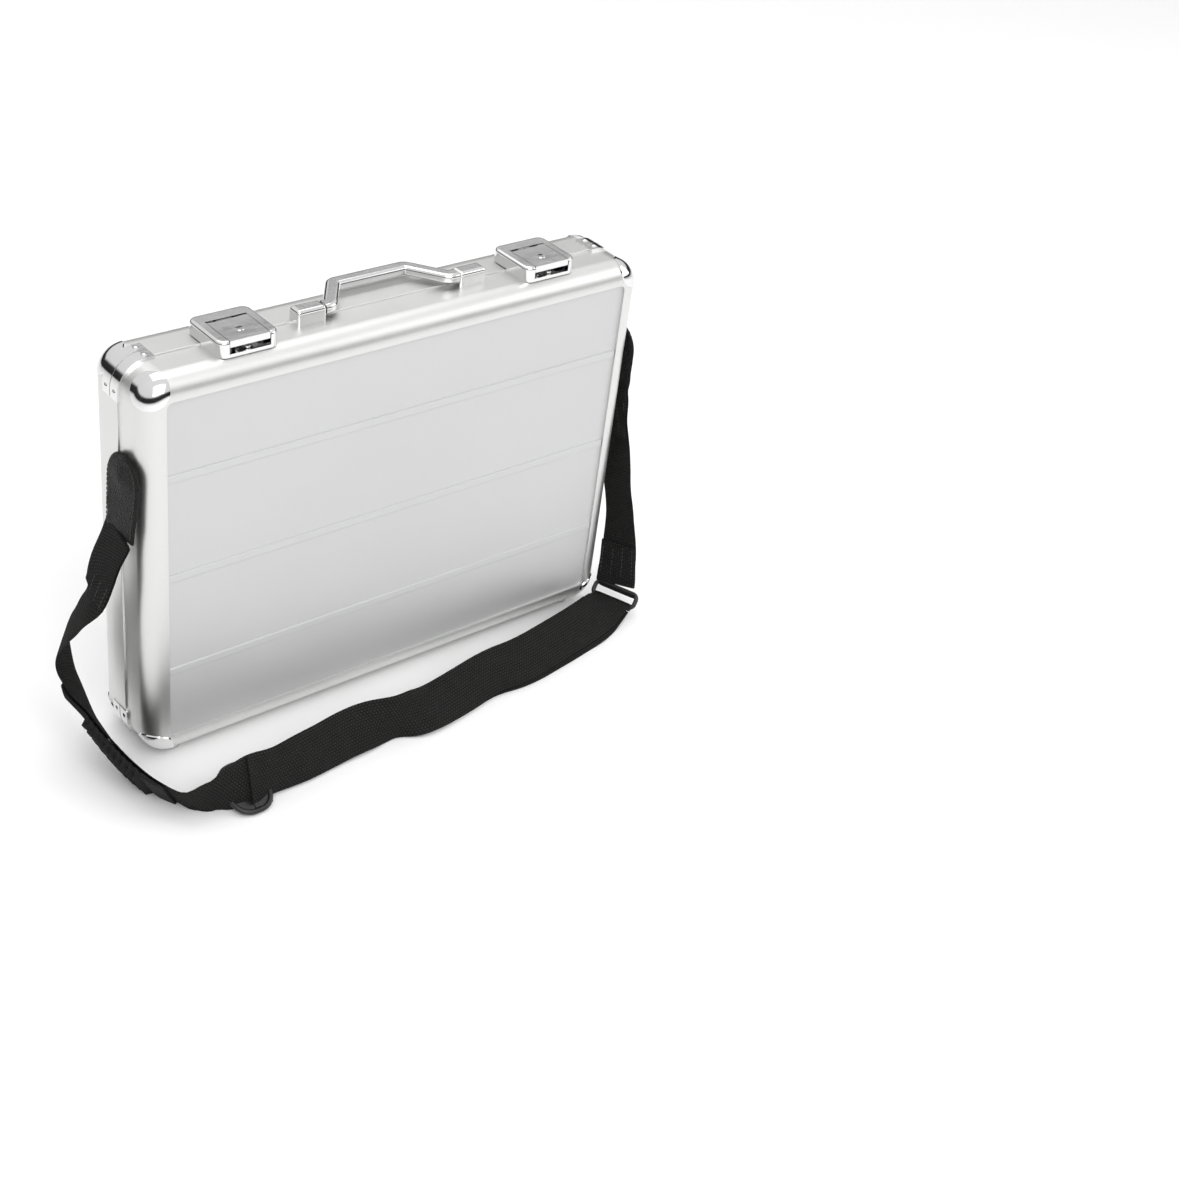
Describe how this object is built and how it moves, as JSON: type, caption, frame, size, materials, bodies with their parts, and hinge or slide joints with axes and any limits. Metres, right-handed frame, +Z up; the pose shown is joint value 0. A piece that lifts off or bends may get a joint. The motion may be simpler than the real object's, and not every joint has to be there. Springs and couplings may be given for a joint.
{
  "type": "attache case",
  "caption": "Slim silver attache case with a deep base, a shallow hinged lid, spring latches with key locks, a folding top handle and a detachable webbing shoulder strap.",
  "frame": {"origin": "on the floor under the middle of the closed case as it stands on its feet, centred on its length and its whole depth", "axes": "+X along the length towards the right latch, -Y out of the base shell's face on the handle side's front, +Z up towards the handle"},
  "size_m": [0.5336, 0.1685, 0.3484],
  "materials": {
    "frame_aluminium": "satin anodised",
    "panel_board": "silver pearl facing on a moulded board",
    "base_lining_cloth": "flat black lining cloth",
    "lid_lining_cloth": "dark grey-brown lining cloth",
    "pocket_cloth": "dark padded cloth",
    "band_cloth": "black woven band",
    "foot_plastic": "pale translucent",
    "handle_metal": "polished",
    "strap_webbing": "black woven webbing",
    "tab_leather": "black grained",
    "grip_rubber": "matt ribbed",
    "plain_steel": "bright",
    "chrome_trim": "polished"
  },
  "bodies": {
    "base": {"base_bracket_bottom_left": "chrome_trim", "base_bracket_bottom_right": "chrome_trim", "base_bracket_top_left": "chrome_trim", "base_bracket_top_right": "chrome_trim", "base_corner_caps": "chrome_trim", "base_divider": "pocket_cloth", "base_feet": "foot_plastic", "base_frame": "frame_aluminium", "base_lining": "base_lining_cloth", "base_panel": "panel_board", "base_rivets": "chrome_trim", "handle_bracket_left": "chrome_trim", "handle_bracket_right": "chrome_trim", "hinge_leaf_base": "plain_steel", "hinge_pin": "plain_steel", "hinge_strip": "pocket_cloth", "hold_band_long": "band_cloth", "hold_band_short": "band_cloth", "latch_cover_left": "chrome_trim", "latch_cover_right": "chrome_trim", "latch_pins": "plain_steel", "latch_springs": "plain_steel", "shoulder_grip": "grip_rubber", "strap_ring": "chrome_trim", "strap_slider": "chrome_trim", "strap_stud_left": "chrome_trim", "strap_stud_right": "chrome_trim", "strap_tab_left": "tab_leather", "strap_tab_right": "tab_leather", "webbing_long": "strap_webbing", "webbing_return": "strap_webbing", "webbing_short": "strap_webbing"},
    "lid": {"card_pocket_back": "pocket_cloth", "card_pocket_front": "pocket_cloth", "file_pocket": "lid_lining_cloth", "gathered_pocket": "pocket_cloth", "hinge_leaf_lid": "plain_steel", "lid_bracket_bottom_left": "chrome_trim", "lid_bracket_bottom_right": "chrome_trim", "lid_bracket_top_left": "chrome_trim", "lid_bracket_top_right": "chrome_trim", "lid_corner_caps": "chrome_trim", "lid_feet": "foot_plastic", "lid_frame": "frame_aluminium", "lid_lining": "lid_lining_cloth", "lid_panel": "panel_board", "lid_rivets": "chrome_trim", "pen_loop_left": "pocket_cloth", "pen_loop_right": "pocket_cloth", "phone_pocket": "pocket_cloth", "strike_left": "chrome_trim", "strike_right": "chrome_trim"},
    "handle": {"handle": "handle_metal", "handle_pins": "plain_steel"},
    "latch_lever_left": {"latch_lever_left": "chrome_trim"},
    "latch_lever_right": {"latch_lever_right": "chrome_trim"},
    "lock_left": {"lock_cylinder_left": "chrome_trim", "lock_cam_left": "plain_steel"},
    "lock_right": {"lock_cylinder_right": "chrome_trim", "lock_cam_right": "plain_steel"}
  },
  "joints": [
    {"name": "lid_hinge", "type": "hinge", "parent": "base", "child": "lid", "pos_m": [0, 0.006, 0.0022], "axis": [-1, 0, 0], "range_deg": [0, 100]},
    {"name": "handle_pivot", "type": "hinge", "parent": "base", "child": "handle", "pos_m": [0, -0.0035, 0.3429], "axis": [1, 0, 0], "range_deg": [0, 180]},
    {"name": "latch_left_pivot", "type": "hinge", "parent": "base", "child": "latch_lever_left", "pos_m": [-0.138, 0.0065, 0.3445], "axis": [-1, 0, 0], "range_deg": [0, 30], "stiffness_Nm_per_rad": 0.06, "springref_deg": -22.92},
    {"name": "lock_left_turn", "type": "hinge", "parent": "latch_lever_left", "child": "lock_left", "pos_m": [-0.138, -0.012, 0.3445], "axis": [0, 0, 1], "range_deg": [0, 90]},
    {"name": "latch_right_pivot", "type": "hinge", "parent": "base", "child": "latch_lever_right", "pos_m": [0.138, 0.0065, 0.3445], "axis": [-1, 0, 0], "range_deg": [0, 30], "stiffness_Nm_per_rad": 0.06, "springref_deg": -22.92},
    {"name": "lock_right_turn", "type": "hinge", "parent": "latch_lever_right", "child": "lock_right", "pos_m": [0.138, -0.012, 0.3445], "axis": [0, 0, 1], "range_deg": [0, 90]}
  ]
}
